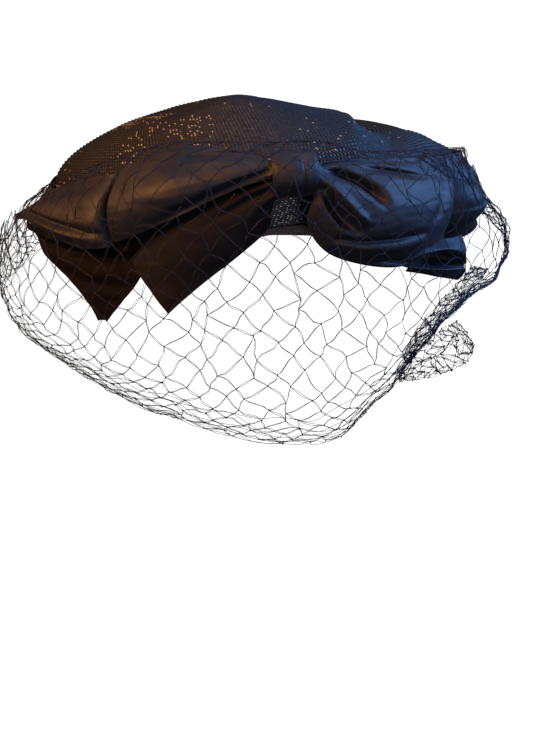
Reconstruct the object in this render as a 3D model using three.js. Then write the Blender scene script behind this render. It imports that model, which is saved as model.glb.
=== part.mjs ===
// A pillbox hat of open straw with a satin swathe, a flat satin bow and a coarse net veil.
// Millimetres, +Z up. The front of the hat faces -Y and its wearer's left side is +X.
// The origin is the middle of the head opening, in the plane of the rim at its sides.
import * as THREE from 'three';

// Head opening and crown
const headOpeningWidth = 158;
const headOpeningDepth = 186;
const crownWidth = 212;
const crownDepth = 224;
const shoulderHeight = 46;
const domeRise = 39;
const tipShift = -8;
const strawThickness = 1.6;
const frontArchRise = 22;
const backArchRise = 3;

// Ribbon at the rim
const bindingThickness = 0.9;
const bindingOuterLeg = 3.2;
const bindingInnerLeg = 9;

// Satin and net
const satinThickness = 1.2;
const netThickness = 1.1;
const netStrandWidth = 3;
const gap = 0.4;

// Angles are degrees round the hat from the middle of the front, positive towards +X.
// A stand-off is the distance outside the widest ring of the crown.

// Soft dents and swells of the dome: where they lie and how deep they go
const domeDents = [
  { angle: 82, radiusShare: 0.5, depth: 6, halfAngle: 56, halfShare: 0.34 },
  { angle: 78, radiusShare: 0.68, depth: 4, halfAngle: 12, halfShare: 0.28 },
  { angle: 108, radiusShare: 0.82, depth: -2.5, halfAngle: 20, halfShare: 0.2 },
  { angle: -62, radiusShare: 0.38, depth: 2.2, halfAngle: 24, halfShare: 0.16 },
  { angle: 172, radiusShare: 0.6, depth: 2.6, halfAngle: 30, halfShare: 0.25 },
];

// The swathe round the side of the crown, from its lower edge to its upper one. It lies flat behind
// the bow and swells out where the bow ends.
const swatheFrom = 8;
const swatheTo = 351;
const swatheTopHeight = 50;
const swatheLowLift = 1.5;
const swatheSwells = { rightFrom: 44, rightTo: 62, leftFrom: 310, leftTo: 292 };
const swatheSection = [
  { share: 0, standOff: -13 },
  { share: 0.1, standOff: -2 },
  { share: 0.22, standOff: 7.5 },
  { share: 0.36, standOff: 12.5 },
  { share: 0.52, standOff: 14.5 },
  { share: 0.68, standOff: 13 },
  { share: 0.82, standOff: 9 },
  { share: 0.92, standOff: 4.8 },
  { share: 1, standOff: 2.6 },
];

// Creases that run along the swathe: where each starts and ends, how deep and how wide
const swatheCreases = [
  { fromAngle: 34, fromHeight: 12, toAngle: 150, toHeight: 22, depth: 4, halfWidth: 4 },
  { fromAngle: 40, fromHeight: 34, toAngle: 128, toHeight: 30, depth: 2.6, halfWidth: 3.5 },
  { fromAngle: 110, fromHeight: 38, toAngle: 236, toHeight: 31, depth: 3.2, halfWidth: 3.6 },
  { fromAngle: 140, fromHeight: 12, toAngle: 262, toHeight: 20, depth: 3.4, halfWidth: 4 },
  { fromAngle: 232, fromHeight: 24, toAngle: 326, toHeight: 9, depth: 7, halfWidth: 6 },
];

// Each ribbon piece is a row for each section along it: the angle and height of its lower and upper
// edge, and the stand-off of its lower edge, middle and upper edge.
const leftLoopFront = [
  { lowAngle: -3.6, lowHeight: 46, highAngle: -3.6, highHeight: 51.5, low: 15, middle: 15.8, high: 13.5 },
  { lowAngle: -9, lowHeight: 46.5, highAngle: -8.5, highHeight: 55.5, low: 14.5, middle: 16.5, high: 7.5 },
  { lowAngle: -18, lowHeight: 40.5, highAngle: -17.5, highHeight: 60.5, low: 15, middle: 18, high: 2 },
  { lowAngle: -27, lowHeight: 32.5, highAngle: -26.5, highHeight: 62.5, low: 16.5, middle: 20, high: -0.5 },
  { lowAngle: -36, lowHeight: 25.5, highAngle: -35, highHeight: 60, low: 16, middle: 20.5, high: 1 },
  { lowAngle: -42.5, lowHeight: 21.5, highAngle: -41.5, highHeight: 55, low: 14.5, middle: 19, high: 4 },
];
const rightLoopFront = [
  { lowAngle: 0.4, lowHeight: 40.5, highAngle: 0.4, highHeight: 50.5, low: 15, middle: 15.8, high: 13.5 },
  { lowAngle: 3.1, lowHeight: 38, highAngle: 4.5, highHeight: 52, low: 13.5, middle: 17, high: 10.5 },
  { lowAngle: 3.3, lowHeight: 25, highAngle: 9.5, highHeight: 52.5, low: 8.5, middle: 19.5, high: 8.5 },
  { lowAngle: 6.4, lowHeight: 12.5, highAngle: 16.5, highHeight: 51.5, low: 7, middle: 21.5, high: 7.5 },
  { lowAngle: 13.5, lowHeight: 5.5, highAngle: 25, highHeight: 51, low: 8, middle: 21.5, high: 7 },
  { lowAngle: 22.5, lowHeight: 2.2, highAngle: 32, highHeight: 50.5, low: 8.5, middle: 20, high: 7 },
  { lowAngle: 30, lowHeight: 4.5, highAngle: 38.5, highHeight: 49.5, low: 9, middle: 18.5, high: 7.5 },
];
const leftFrontTail = [
  { lowAngle: -3.6, lowHeight: 39.5, highAngle: -3.6, highHeight: 45, low: 15, middle: 15.6, high: 15 },
  { lowAngle: -7.2, lowHeight: 36.5, highAngle: -7.4, highHeight: 45.3, low: 12, middle: 14.5, high: 13.6 },
  { lowAngle: -8.4, lowHeight: 25, highAngle: -12, highHeight: 42.5, low: 6.5, middle: 12.5, high: 12 },
  { lowAngle: -15, lowHeight: 14, highAngle: -20, highHeight: 37, low: 8.5, middle: 13, high: 13 },
  { lowAngle: -22.5, lowHeight: 2.5, highAngle: -29, highHeight: 26, low: 10, middle: 12.5, high: 13 },
  { lowAngle: -31.3, lowHeight: -11.5, highAngle: -39, highHeight: 12, low: 10, middle: 11, high: 12.5 },
];
const leftOuterTail = [
  { lowAngle: -82, lowHeight: 21, highAngle: -38.5, highHeight: 15, low: 11.6, middle: 10.5, high: 6 },
  { lowAngle: -69, lowHeight: 8, highAngle: -38.5, highHeight: 5, low: 12.4, middle: 11.7, high: 7.4 },
  { lowAngle: -57, lowHeight: -6, highAngle: -39.5, highHeight: -1, low: 12.5, middle: 12, high: 8.8 },
  { lowAngle: -51, lowHeight: -12, highAngle: -42.5, highHeight: -8, low: 11, middle: 11, high: 9.5 },
  { lowAngle: -46.8, lowHeight: -16.2, highAngle: -45.2, highHeight: -16.4, low: 10, middle: 10, high: 10 },
];
const leftSideSwathe = [
  { lowAngle: -46.5, lowHeight: 14.5, highAngle: -47, highHeight: 52, low: 16, middle: 19, high: 5 },
  { lowAngle: -56, lowHeight: 19.5, highAngle: -56, highHeight: 50.5, low: 17, middle: 20.5, high: 6.5 },
  { lowAngle: -68, lowHeight: 27.5, highAngle: -68, highHeight: 46.5, low: 18, middle: 20, high: 10.5 },
  { lowAngle: -81, lowHeight: 32, highAngle: -80, highHeight: 42, low: 18.5, middle: 19, high: 14.5 },
  { lowAngle: -91, lowHeight: 33, highAngle: -90, highHeight: 37.5, low: 19.5, middle: 19.8, high: 18 },
  { lowAngle: -97, lowHeight: 32.5, highAngle: -96, highHeight: 33.7, low: 21.5, middle: 21.5, high: 21 },
];

// Folds that fan out from the knot over a ribbon: the share of its height where each starts and ends,
// its depth where it is deepest (negative for a ridge) and the share of the height that it fills
const leftLoopFolds = [
  { start: 0.75, end: 0.86, depth: 3.2, width: 0.1 },
  { start: 0.45, end: 0.5, depth: -1.6, width: 0.16 },
  { start: 0.25, end: 0.12, depth: 1.2, width: 0.12 },
];
const rightLoopFolds = [
  { start: 0.84, end: 0.84, depth: 3, width: 0.07 },
  { start: 0.62, end: 0.66, depth: 4.6, width: 0.1 },
  { start: 0.42, end: 0.52, depth: -2, width: 0.09 },
  { start: 0.22, end: 0.4, depth: 3.2, width: 0.1 },
  { start: 0.05, end: 0.13, depth: 2.6, width: 0.06 },
];
const leftTailFolds = [
  { start: 0.62, end: 0.7, depth: 1.8, width: 0.12 },
  { start: 0.86, end: 0.92, depth: -1.4, width: 0.1 },
];
const sideSwatheFolds = [
  { start: 0.3, end: 0.45, depth: 1.6, width: 0.14 },
  { start: 0.72, end: 0.66, depth: 1.2, width: 0.12 },
];

// The right tail is folded lengthwise into an open trough. Each row is a section of it: its angle,
// the heights of its front lip, its bottom fold and its back edge, and its stand-offs.
const rightTailSections = [
  { angle: 24, lipHeight: -1.5, foldHeight: -3.2, backHeight: 8, lipOff: 9.5, foldOff: 5, backOff: -6.6 },
  { angle: 31, lipHeight: -0.6, foldHeight: -5.4, backHeight: 18, lipOff: 14.5, foldOff: 6, backOff: -6.6 },
  { angle: 38, lipHeight: -1.8, foldHeight: -8.2, backHeight: 22, lipOff: 16.5, foldOff: 8, backOff: -6.2 },
  { angle: 44, lipHeight: -4, foldHeight: -10.6, backHeight: 22, lipOff: 15.5, foldOff: 9, backOff: -5.6 },
];

// The net hangs from the top of the swathe. Each row is a section at one angle round the hat: the
// height and stand-off of its top edge, of its fullest place and of its hem.
const netSections = [
  { angle: -124, top: 50.5, topOff: 5, full: 41, fullOff: 14, hem: 28, hemOff: 18 },
  { angle: -106, top: 50.5, topOff: 5, full: 24, fullOff: 25, hem: 6, hemOff: 28 },
  { angle: -86, top: 51, topOff: 5.5, full: 12, fullOff: 33, hem: -11, hemOff: 34 },
  { angle: -66, top: 52.5, topOff: 6.5, full: 22, fullOff: 30, hem: -25, hemOff: 31 },
  { angle: -44, top: 58.5, topOff: 6.5, full: 32, fullOff: 28, hem: -44, hemOff: 27 },
  { angle: -32, top: 64, topOff: 3.5, full: 36, fullOff: 28, hem: -57, hemOff: 23 },
  { angle: -18, top: 63.5, topOff: 4.5, full: 38, fullOff: 27.5, hem: -69, hemOff: 17 },
  { angle: -5, top: 62, topOff: 10.5, full: 38, fullOff: 28.5, hem: -76, hemOff: 14 },
  { angle: 5, top: 61, topOff: 11, full: 38, fullOff: 28.5, hem: -75, hemOff: 13 },
  { angle: 15, top: 56, topOff: 9, full: 34, fullOff: 28, hem: -62, hemOff: 13 },
  { angle: 28, top: 54.5, topOff: 8, full: 32, fullOff: 28, hem: -53, hemOff: 18 },
  { angle: 46, top: 53.5, topOff: 7, full: 32, fullOff: 26, hem: -51, hemOff: 25 },
  { angle: 64, top: 52.5, topOff: 6.5, full: 24, fullOff: 25.5, hem: -38, hemOff: 18 },
  { angle: 84, top: 51.5, topOff: 5.5, full: 7, fullOff: 26.5, hem: -24, hemOff: 14 },
  { angle: 106, top: 50.5, topOff: 5, full: 24, fullOff: 23, hem: 6, hemOff: 19 },
  { angle: 124, top: 50.5, topOff: 5, full: 41, fullOff: 14, hem: 28, hemOff: 17 },
];
const netColumns = 16;
const netRows = 6;
const netTopBand = 2.5;
const netHemBand = 5;

const { degToRad, lerp, clamp, smoothstep } = THREE.MathUtils;

function material(name, color, roughness, metalness = 0) {
  return new THREE.MeshStandardMaterial({ name, color, roughness, metalness });
}

const strawFinish = material('navy_straw', '#23252e', 0.75);
const satinFinish = material('navy_satin', '#1a1d38', 0.35);
const ribbonFinish = material('maroon_grosgrain', '#2c1c1f', 0.8);
const netFinish = material('navy_net', '#1b1e33', 0.7);

// A point of the hat from its angle, height and stand-off.
function around(angle, height, standOff) {
  const turn = degToRad(angle);
  return new THREE.Vector3(
    (crownWidth / 2 + standOff) * Math.sin(turn),
    -(crownDepth / 2 + standOff) * Math.cos(turn),
    height,
  );
}

// Smooth value of one column of a table at a share of the way through its rows.
function column(rows, name, share) {
  const place = clamp(share, 0, 1) * (rows.length - 1);
  const index = Math.min(Math.floor(place), rows.length - 2);
  const t = place - index;
  const before = rows[Math.max(index - 1, 0)][name];
  const from = rows[index][name];
  const to = rows[index + 1][name];
  const after = rows[Math.min(index + 2, rows.length - 1)][name];
  const startSlope = (to - before) / 2;
  const endSlope = (after - from) / 2;
  const cubic = (2 * t ** 3 - 3 * t ** 2 + 1) * from + (t ** 3 - 2 * t ** 2 + t) * startSlope;
  return cubic + (3 * t ** 2 - 2 * t ** 3) * to + (t ** 3 - t ** 2) * endSlope;
}

// The share of the way through a table's rows where its column called key reaches a value.
function shareAt(rows, key, value) {
  const last = rows.length - 1;
  const next = rows.findIndex((row, i) => i > 0 && value <= row[key]);
  if (next < 0) {
    return 1;
  }
  const step = (value - rows[next - 1][key]) / (rows[next][key] - rows[next - 1][key]);
  return clamp((next - 1 + step) / last, 0, 1);
}

function bell(distance) {
  return Math.exp(-distance * distance);
}

// Difference of two angles, from -180 to 180 degrees.
function turnBetween(angle, other) {
  return ((((angle - other + 180) % 360) + 360) % 360) - 180;
}

// Joins points that coincide, and leaves out triangles that have no area.
function weld(triangles) {
  const points = [];
  const indexOf = new Map();
  const faces = [];
  function indexFor(point) {
    const key = point.toArray().map((value) => Math.round(value * 1e4)).join();
    if (!indexOf.has(key)) {
      indexOf.set(key, points.length);
      points.push(point);
    }
    return indexOf.get(key);
  }
  for (const corners of triangles) {
    const [a, b, c] = corners.map(indexFor);
    if (a !== b && b !== c && a !== c) {
      faces.push([a, b, c]);
    }
  }
  return { points, faces };
}

function pointNormals(points, faces) {
  const normals = points.map(() => new THREE.Vector3());
  for (const [a, b, c] of faces) {
    const side = points[b].clone().sub(points[a]);
    const cross = side.cross(points[c].clone().sub(points[a]));
    for (const index of [a, b, c]) {
      normals[index].add(cross);
    }
  }
  return normals.map((normal) => normal.normalize());
}

function meshOf(name, points, faces, finish) {
  const geometry = new THREE.BufferGeometry();
  const coordinates = points.flatMap((point) => point.toArray());
  geometry.setAttribute('position', new THREE.Float32BufferAttribute(coordinates, 3));
  geometry.setIndex(faces.flat());
  geometry.computeVertexNormals();
  const mesh = new THREE.Mesh(geometry, finish);
  mesh.name = name;
  return mesh;
}

// A wall of even thickness behind a surface: its face, its back and the edges between them.
function wallOf(name, triangles, thickness, finish) {
  const { points, faces } = weld(triangles);
  const normals = pointNormals(points, faces);
  const count = points.length;
  const back = points.map((point, i) => point.clone().addScaledVector(normals[i], -thickness));
  const all = [...faces];
  const edges = new Set(faces.flatMap(([a, b, c]) => [`${a},${b}`, `${b},${c}`, `${c},${a}`]));
  for (const [a, b, c] of faces) {
    all.push([a + count, c + count, b + count]);
    for (const [from, to] of [[a, b], [b, c], [c, a]]) {
      if (!edges.has(`${to},${from}`)) {
        all.push([to, from, from + count], [to, from + count, to + count]);
      }
    }
  }
  return meshOf(name, [...points, ...back], all, finish);
}

// Triangles of a grid of points. pointAt takes shares of the two ways, along and up.
function gridTriangles(pointAt, alongSteps, upSteps) {
  const triangles = [];
  for (let i = 0; i < alongSteps; i += 1) {
    for (let j = 0; j < upSteps; j += 1) {
      const a = pointAt(i / alongSteps, j / upSteps);
      const b = pointAt((i + 1) / alongSteps, j / upSteps);
      const c = pointAt((i + 1) / alongSteps, (j + 1) / upSteps);
      const d = pointAt(i / alongSteps, (j + 1) / upSteps);
      triangles.push([a, b, c], [a, c, d]);
    }
  }
  return triangles;
}

function rimHeight(angle) {
  const facing = Math.cos(degToRad(angle));
  return facing > 0 ? frontArchRise * facing ** 3 : backArchRise * facing ** 2;
}

// Crown: a flared side wall up to the shoulder and a soft dome above it.
const crownSteps = 40;
const crownRows = 13;
const sideWallShare = 0.4;

function crownPoint(alongShare, upShare) {
  const angle = 360 * alongShare;
  const turn = degToRad(angle);
  const rim = rimHeight(angle);
  if (upShare < sideWallShare) {
    const t = upShare / sideWallShare;
    const flare = 1 - (1 - t) ** 1.7;
    const halfWidth = lerp(headOpeningWidth / 2 + strawThickness, crownWidth / 2, flare);
    const halfDepth = lerp(headOpeningDepth / 2 + strawThickness, crownDepth / 2, flare);
    const height = lerp(rim, shoulderHeight, t);
    return new THREE.Vector3(halfWidth * Math.sin(turn), -halfDepth * Math.cos(turn), height);
  }
  const t = (upShare - sideWallShare) / (1 - sideWallShare);
  const radiusShare = Math.cos((t * Math.PI) / 2);
  let height = shoulderHeight + domeRise * (1 - radiusShare ** 1.6) ** 0.6;
  for (const dent of domeDents) {
    const aside = turnBetween(angle, dent.angle) / dent.halfAngle;
    const outward = (radiusShare - dent.radiusShare) / dent.halfShare;
    const edgeFade = Math.min(1, 6 * radiusShare, 12 * (1 - radiusShare));
    height -= dent.depth * bell(aside) * bell(outward) * edgeFade;
  }
  const shift = tipShift * (1 - radiusShare ** 2);
  return new THREE.Vector3(
    (radiusShare * crownWidth * Math.sin(turn)) / 2 + shift,
    (-radiusShare * crownDepth * Math.cos(turn)) / 2,
    height,
  );
}

function crown() {
  return wallOf('crown', gridTriangles(crownPoint, crownSteps, crownRows), strawThickness, strawFinish);
}

// Rim binding: a ribbon folded over the rim, in a U that follows the slant of the wall.
function rimBinding() {
  const inside = strawThickness / 2 + gap + 0.2;
  const outside = inside + bindingThickness;
  const section = [
    [outside, bindingOuterLeg],
    [outside, -outside],
    [-outside, -outside],
    [-outside, bindingInnerLeg],
    [-inside, bindingInnerLeg],
    [-inside, -inside],
    [inside, -inside],
    [inside, bindingOuterLeg],
  ];
  const wallMiddle = strawThickness / 2;
  function bindingPoint(alongShare, roundShare) {
    const [outward, up] = section[Math.round(roundShare * section.length) % section.length];
    const rim = crownPoint(alongShare, 0);
    const step = 1 / crownSteps;
    const along = crownPoint(alongShare + step, 0).sub(crownPoint(alongShare - step, 0));
    const facing = along.cross(crownPoint(alongShare, 1 / crownRows).sub(rim)).normalize();
    const rise = facing.clone().cross(new THREE.Vector3(-rim.y, rim.x, 0)).normalize();
    if (rise.z < 0) {
      rise.negate();
    }
    return rim.addScaledVector(facing, outward - wallMiddle).addScaledVector(rise, up);
  }
  const { points, faces } = weld(gridTriangles(bindingPoint, crownSteps, section.length));
  return meshOf('rim_binding', points, faces.map(([a, b, c]) => [a, c, b]), ribbonFinish);
}

// Swathe: draped satin from the right of the knot round the back to its left.
function strawStandOff(angle, height) {
  const rim = rimHeight(angle);
  const inward = (1 - clamp((height - rim) / (shoulderHeight - rim), 0, 1)) ** 1.7;
  const sideways = Math.sin(degToRad(angle)) ** 2;
  const widthStep = (crownWidth - headOpeningWidth) / 2 - strawThickness;
  const depthStep = (crownDepth - headOpeningDepth) / 2 - strawThickness;
  return -inward * lerp(depthStep, widthStep, sideways);
}

function swathePoint(alongShare, upShare) {
  const angle = lerp(swatheFrom, swatheTo, alongShare);
  const height = lerp(rimHeight(angle) + swatheLowLift, swatheTopHeight, upShare);
  let full = column(swatheSection, 'standOff', shareAt(swatheSection, 'share', upShare));
  for (const crease of swatheCreases) {
    const t = clamp((angle - crease.fromAngle) / (crease.toAngle - crease.fromAngle), 0, 1);
    const fade = Math.sin(Math.PI * t) ** 0.5;
    const aside = (height - lerp(crease.fromHeight, crease.toHeight, t)) / crease.halfWidth;
    full -= crease.depth * fade * bell(aside);
  }
  const { rightFrom, rightTo, leftFrom, leftTo } = swatheSwells;
  const swell = smoothstep(angle, rightFrom, rightTo) * (1 - smoothstep(angle, leftTo, leftFrom));
  const flat = strawStandOff(angle, height) + gap + satinThickness + 1.1;
  return around(angle, height, Math.max(flat, lerp(flat, full, swell)));
}

function satinSwathe() {
  return wallOf('satin_swathe', gridTriangles(swathePoint, 40, 10), satinThickness, satinFinish);
}

// A point on a ribbon from the table of its sections and the table of its folds.
function ribbonPoint(sections, folds, alongShare, upShare) {
  const at = (name) => column(sections, name, alongShare);
  const angle = lerp(at('lowAngle'), at('highAngle'), upShare);
  const height = lerp(at('lowHeight'), at('highHeight'), upShare);
  const [low, middle, high] = [at('low'), at('middle'), at('high')];
  const chord = lerp(low, high, upShare);
  let standOff = chord + (middle - (low + high) / 2) * 4 * upShare * (1 - upShare);
  for (const fold of folds) {
    const fade = Math.sin(Math.PI * clamp(alongShare, 0.04, 0.94) ** 0.8);
    standOff -= fold.depth * fade * bell((upShare - lerp(fold.start, fold.end, alongShare)) / fold.width);
  }
  return around(angle, height, standOff);
}

function strip(name, sections, folds, alongSteps, upSteps) {
  const toTheRight = sections[sections.length - 1].lowAngle > sections[0].lowAngle;
  const pointAt = (along, up) => ribbonPoint(sections, folds, toTheRight ? along : 1 - along, up);
  return wallOf(name, gridTriangles(pointAt, alongSteps, upSteps), satinThickness, satinFinish);
}

// A bow loop: a ribbon that goes out from the knot, turns round and comes back behind itself.
function bowLoop(name, sections, folds, backOff) {
  const outShare = 0.66;
  const turnShare = 0.82;
  const toTheRight = sections[sections.length - 1].lowAngle > sections[0].lowAngle;
  const turnWidth = toTheRight ? 5 : -5;
  function pointAt(along, up) {
    if (along <= outShare) {
      return ribbonPoint(sections, folds, along / outShare, up);
    }
    const end = ribbonPoint(sections, folds, 1, up);
    const angle = THREE.MathUtils.radToDeg(Math.atan2(end.x / crownWidth, -end.y / crownDepth));
    const frontOff = Math.hypot(end.x, end.y) - Math.hypot(...around(angle, 0, 0).toArray());
    const rest = Math.min(backOff, frontOff - 3);
    if (along <= turnShare) {
      const t = (along - outShare) / (turnShare - outShare);
      const swing = (1 - Math.cos(Math.PI * t)) / 2;
      return around(angle + turnWidth * Math.sin(Math.PI * t), end.z, lerp(frontOff, rest, swing));
    }
    const t = (along - turnShare) / (1 - turnShare);
    const knotAngle = toTheRight ? 6 : -11;
    const home = ribbonPoint(sections, [], 0.3, up);
    return around(lerp(angle, knotAngle, t), lerp(end.z, home.z, t), rest);
  }
  const flipped = (along, up) => (toTheRight ? pointAt(along, up) : pointAt(along, 1 - up));
  return wallOf(name, gridTriangles(flipped, 24, 8), satinThickness, satinFinish);
}

// Knot: the ribbon wrapped over the middle of the bow, with one soft pleat down its face.
const knot = { fromAngle: -6.2, toAngle: 2.8, middleHeight: 46, halfHeight: 11.2, backOff: 3.6, reach: 16.4 };

function bowKnot() {
  function pointAt(along, up) {
    const angle = lerp(knot.fromAngle, knot.toAngle, along);
    const turn = Math.PI * lerp(-0.5, 0.5, up);
    const bulge = 1 + 0.07 * Math.sin(Math.PI * along);
    const pleat = 1.1 * bell((along - 0.66) / 0.1) * Math.cos(turn);
    const height = knot.middleHeight + knot.halfHeight * bulge * Math.sin(turn);
    const standOff = knot.backOff + knot.reach * bulge * Math.cos(turn) ** 0.7 - pleat;
    return around(angle, height, standOff);
  }
  return wallOf('bow_knot', gridTriangles(pointAt, 8, 12), satinThickness, satinFinish);
}

function rightTail() {
  function pointAt(along, up) {
    const at = (name) => column(rightTailSections, name, along);
    const lip = [at('lipHeight'), at('lipOff')];
    const fold = [at('foldHeight'), at('foldOff')];
    const rear = [at('backHeight'), at('backOff')];
    const t = 1 - up;
    const [height, standOff] = [0, 1].map((k) => {
      const control = 2 * fold[k] - (lip[k] + rear[k]) / 2;
      return (1 - t) ** 2 * lip[k] + 2 * t * (1 - t) * control + t * t * rear[k];
    });
    return around(at('angle'), height, standOff);
  }
  return wallOf('bow_tail_right', gridTriangles(pointAt, 8, 8), satinThickness, satinFinish);
}

// Net: a curtain cut through in diamonds, with a narrow band at its top and a thicker one at its hem.
function netPoint(angle, drop) {
  const share = shareAt(netSections, 'angle', angle);
  const top = [column(netSections, 'top', share), column(netSections, 'topOff', share)];
  const full = [column(netSections, 'full', share), column(netSections, 'fullOff', share)];
  const hem = [column(netSections, 'hem', share), column(netSections, 'hemOff', share)];
  const fullAt = 0.3;
  const [height, standOff] = [0, 1].map((k) => {
    if (drop < fullAt) {
      const t = drop / fullAt;
      const ease = k === 0 ? t ** 1.5 : 1 - (1 - t) ** 2;
      return lerp(top[k], full[k], ease);
    }
    const t = (drop - fullAt) / (1 - fullAt);
    return lerp(full[k], hem[k], k === 0 ? t : t * t);
  });
  return around(angle, height, standOff);
}

function veil() {
  const triangles = [];
  const fromAngle = netSections[0].angle;
  const toAngle = netSections.at(-1).angle;
  const bandTop = netTopBand / 100;
  const bandHem = 1 - netHemBand / 140;
  function spot(columnPlace, rowPlace) {
    const angle = lerp(fromAngle, toAngle, clamp(columnPlace / netColumns, 0, 1));
    return netPoint(angle, lerp(bandTop, bandHem, clamp(rowPlace / netRows, 0, 1)));
  }
  function cell(corners) {
    const points = corners.map(([c, r]) => spot(c, r));
    const middle = new THREE.Vector3();
    points.forEach((point) => middle.addScaledVector(point, 1 / points.length));
    const inner = points.map((point, i) => {
      const inward = middle.clone().sub(point);
      const slant = inward.angleTo(points[(i + 1) % points.length].clone().sub(point));
      const reach = Math.min(netStrandWidth / 2 / Math.sin(slant), 0.6 * inward.length());
      return point.clone().addScaledVector(inward.normalize(), reach);
    });
    points.forEach((point, i) => {
      const j = (i + 1) % points.length;
      triangles.push([point, points[j], inner[j]], [point, inner[j], inner[i]]);
    });
  }
  for (let row = 0; row <= netRows; row += 1) {
    const offset = row % 2 === 0 ? 0 : 0.5;
    for (let i = 0; i <= netColumns; i += 1) {
      const middle = i + offset;
      const left = Math.max(middle - 0.5, 0);
      const right = Math.min(middle + 0.5, netColumns);
      const corners = [[left, row], [middle, row + 1], [right, row], [middle, row - 1]];
      const kept = corners.filter(([c, r]) => r >= 0 && r <= netRows && c >= 0 && c <= netColumns);
      const distinct = kept.filter(([c, r], k) => kept.findIndex(([c2, r2]) => c2 === c && r2 === r) === k);
      if (middle <= netColumns && right > left && distinct.length > 2) {
        cell(distinct);
      }
    }
  }
  const edgePlaces = [0, ...Array.from({ length: netColumns }, (_, i) => i + 0.5), netColumns];
  for (let k = 0; k + 1 < edgePlaces.length; k += 1) {
    const [from, to] = [edgePlaces[k], edgePlaces[k + 1]];
    const [fromTop, toTop, fromHem, toHem] = [[from, 0], [to, 0], [from, 1], [to, 1]].map(
      ([place, drop]) => netPoint(lerp(fromAngle, toAngle, place / netColumns), drop));
    const [fromFirst, toFirst] = [spot(from, 0), spot(to, 0)];
    const [fromLast, toLast] = [spot(from, netRows), spot(to, netRows)];
    triangles.push([fromTop, fromFirst, toFirst], [fromTop, toFirst, toTop]);
    triangles.push([fromLast, fromHem, toHem], [fromLast, toHem, toLast]);
  }
  return wallOf('veil', triangles, netThickness, netFinish);
}

const hat = new THREE.Group();
hat.name = 'pillbox_hat';
hat.add(crown());
hat.add(rimBinding());
hat.add(satinSwathe());
hat.add(strip('side_swathe_left', leftSideSwathe, sideSwatheFolds, 12, 7));
hat.add(bowLoop('bow_loop_left', leftLoopFront, leftLoopFolds, 3.3));
hat.add(bowLoop('bow_loop_right', rightLoopFront, rightLoopFolds, 3.3));
hat.add(strip('bow_tail_left_front', leftFrontTail, leftTailFolds, 12, 7));
hat.add(strip('bow_tail_left_outer', leftOuterTail, [], 6, 5));
hat.add(rightTail());
hat.add(bowKnot());
hat.add(veil());

export default hat;
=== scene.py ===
import bpy
import numpy as np
from mathutils import Matrix, Vector


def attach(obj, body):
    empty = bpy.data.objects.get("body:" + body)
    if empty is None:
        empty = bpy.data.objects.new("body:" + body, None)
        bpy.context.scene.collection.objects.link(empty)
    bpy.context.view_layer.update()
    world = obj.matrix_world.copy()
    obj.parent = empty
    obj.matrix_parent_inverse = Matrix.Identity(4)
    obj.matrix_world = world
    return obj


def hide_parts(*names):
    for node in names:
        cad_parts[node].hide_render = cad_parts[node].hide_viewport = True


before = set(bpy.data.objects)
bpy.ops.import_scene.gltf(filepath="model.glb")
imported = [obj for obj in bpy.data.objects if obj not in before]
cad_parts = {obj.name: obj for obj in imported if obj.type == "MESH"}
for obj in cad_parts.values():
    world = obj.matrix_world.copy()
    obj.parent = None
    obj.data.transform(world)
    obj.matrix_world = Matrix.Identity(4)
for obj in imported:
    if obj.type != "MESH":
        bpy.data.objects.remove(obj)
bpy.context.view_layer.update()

MM = 0.001

# Real sizes of the hat
HEAD_OPENING = (158, 186)
CROWN = (212, 224)
SHOULDER_HEIGHT = 46
DOME_RISE = 39
TIP_SHIFT = -8
STRAW_THICKNESS = 1.6
FRONT_ARCH_RISE = 22
BACK_ARCH_RISE = 3
SIDE_WALL_SHARE = 0.4
BINDING_THICKNESS = 0.9
BINDING_OUTER_LEG = 3.2
BINDING_INNER_LEG = 9
SATIN_THICKNESS = 0.8
MM_PER_DEGREE = 2.15

# Soft dents and swells of the dome: angle, share of the radius, depth, half angle and half share
DOME_DENTS = [
    (82, 0.5, 6, 56, 0.34),
    (78, 0.68, 4, 12, 0.28),
    (108, 0.82, -2.5, 20, 0.2),
    (-62, 0.38, 2.2, 24, 0.16),
    (172, 0.6, 2.6, 30, 0.25),
]
# The fold that runs over the dome to its right shoulder, seen from above
DOME_RIDGE = [
    ("pleat", [(28, -108), (35, -78), (40, -42), (36, -5), (26, 30)], 3.1, 16, (1, 1, 1, 0.7, 0)),
    ("valley", [(46, -98), (52, -72), (55, -38), (52, 0)], 4.6, 10, (0.6, 1, 1, 0)),
    ("ridge", [(70, -84), (76, -50), (78, -16)], 1.2, 9, (0, 1, 0)),
]


def around(angle, height, stand_off):
    turn = np.radians(angle)
    across = (CROWN[0] / 2 + stand_off) * np.sin(turn)
    ahead = -(CROWN[1] / 2 + stand_off) * np.cos(turn)
    return np.stack(np.broadcast_arrays(across, ahead, height), axis=-1)


def mix(start, end, share):
    return start + (end - start) * share


def bell(distance):
    return np.exp(-distance * distance)


def ease(value, start, end):
    t = np.clip((value - start) / (end - start), 0, 1)
    return t * t * (3 - 2 * t)


def curve_through(before, start, end, after, t):
    """The value a share t of the way from start to end on a smooth line through four values."""
    slope_in, slope_out = (end - before) / 2, (after - start) / 2
    curve = (2 * t**3 - 3 * t**2 + 1) * start + (t**3 - 2 * t**2 + t) * slope_in
    return curve + (3 * t**2 - 2 * t**3) * end + (t**3 - t**2) * slope_out


def between(values, share):
    """Smooth value of evenly spaced values at shares of the way through them."""
    values = np.asarray(values, float)
    place = np.clip(share, 0, 1) * (len(values) - 1)
    index = np.minimum(place.astype(int), len(values) - 2)
    before = values[np.maximum(index - 1, 0)]
    after = values[np.minimum(index + 2, len(values) - 1)]
    return curve_through(before, values[index], values[index + 1], after, place - index)


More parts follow.
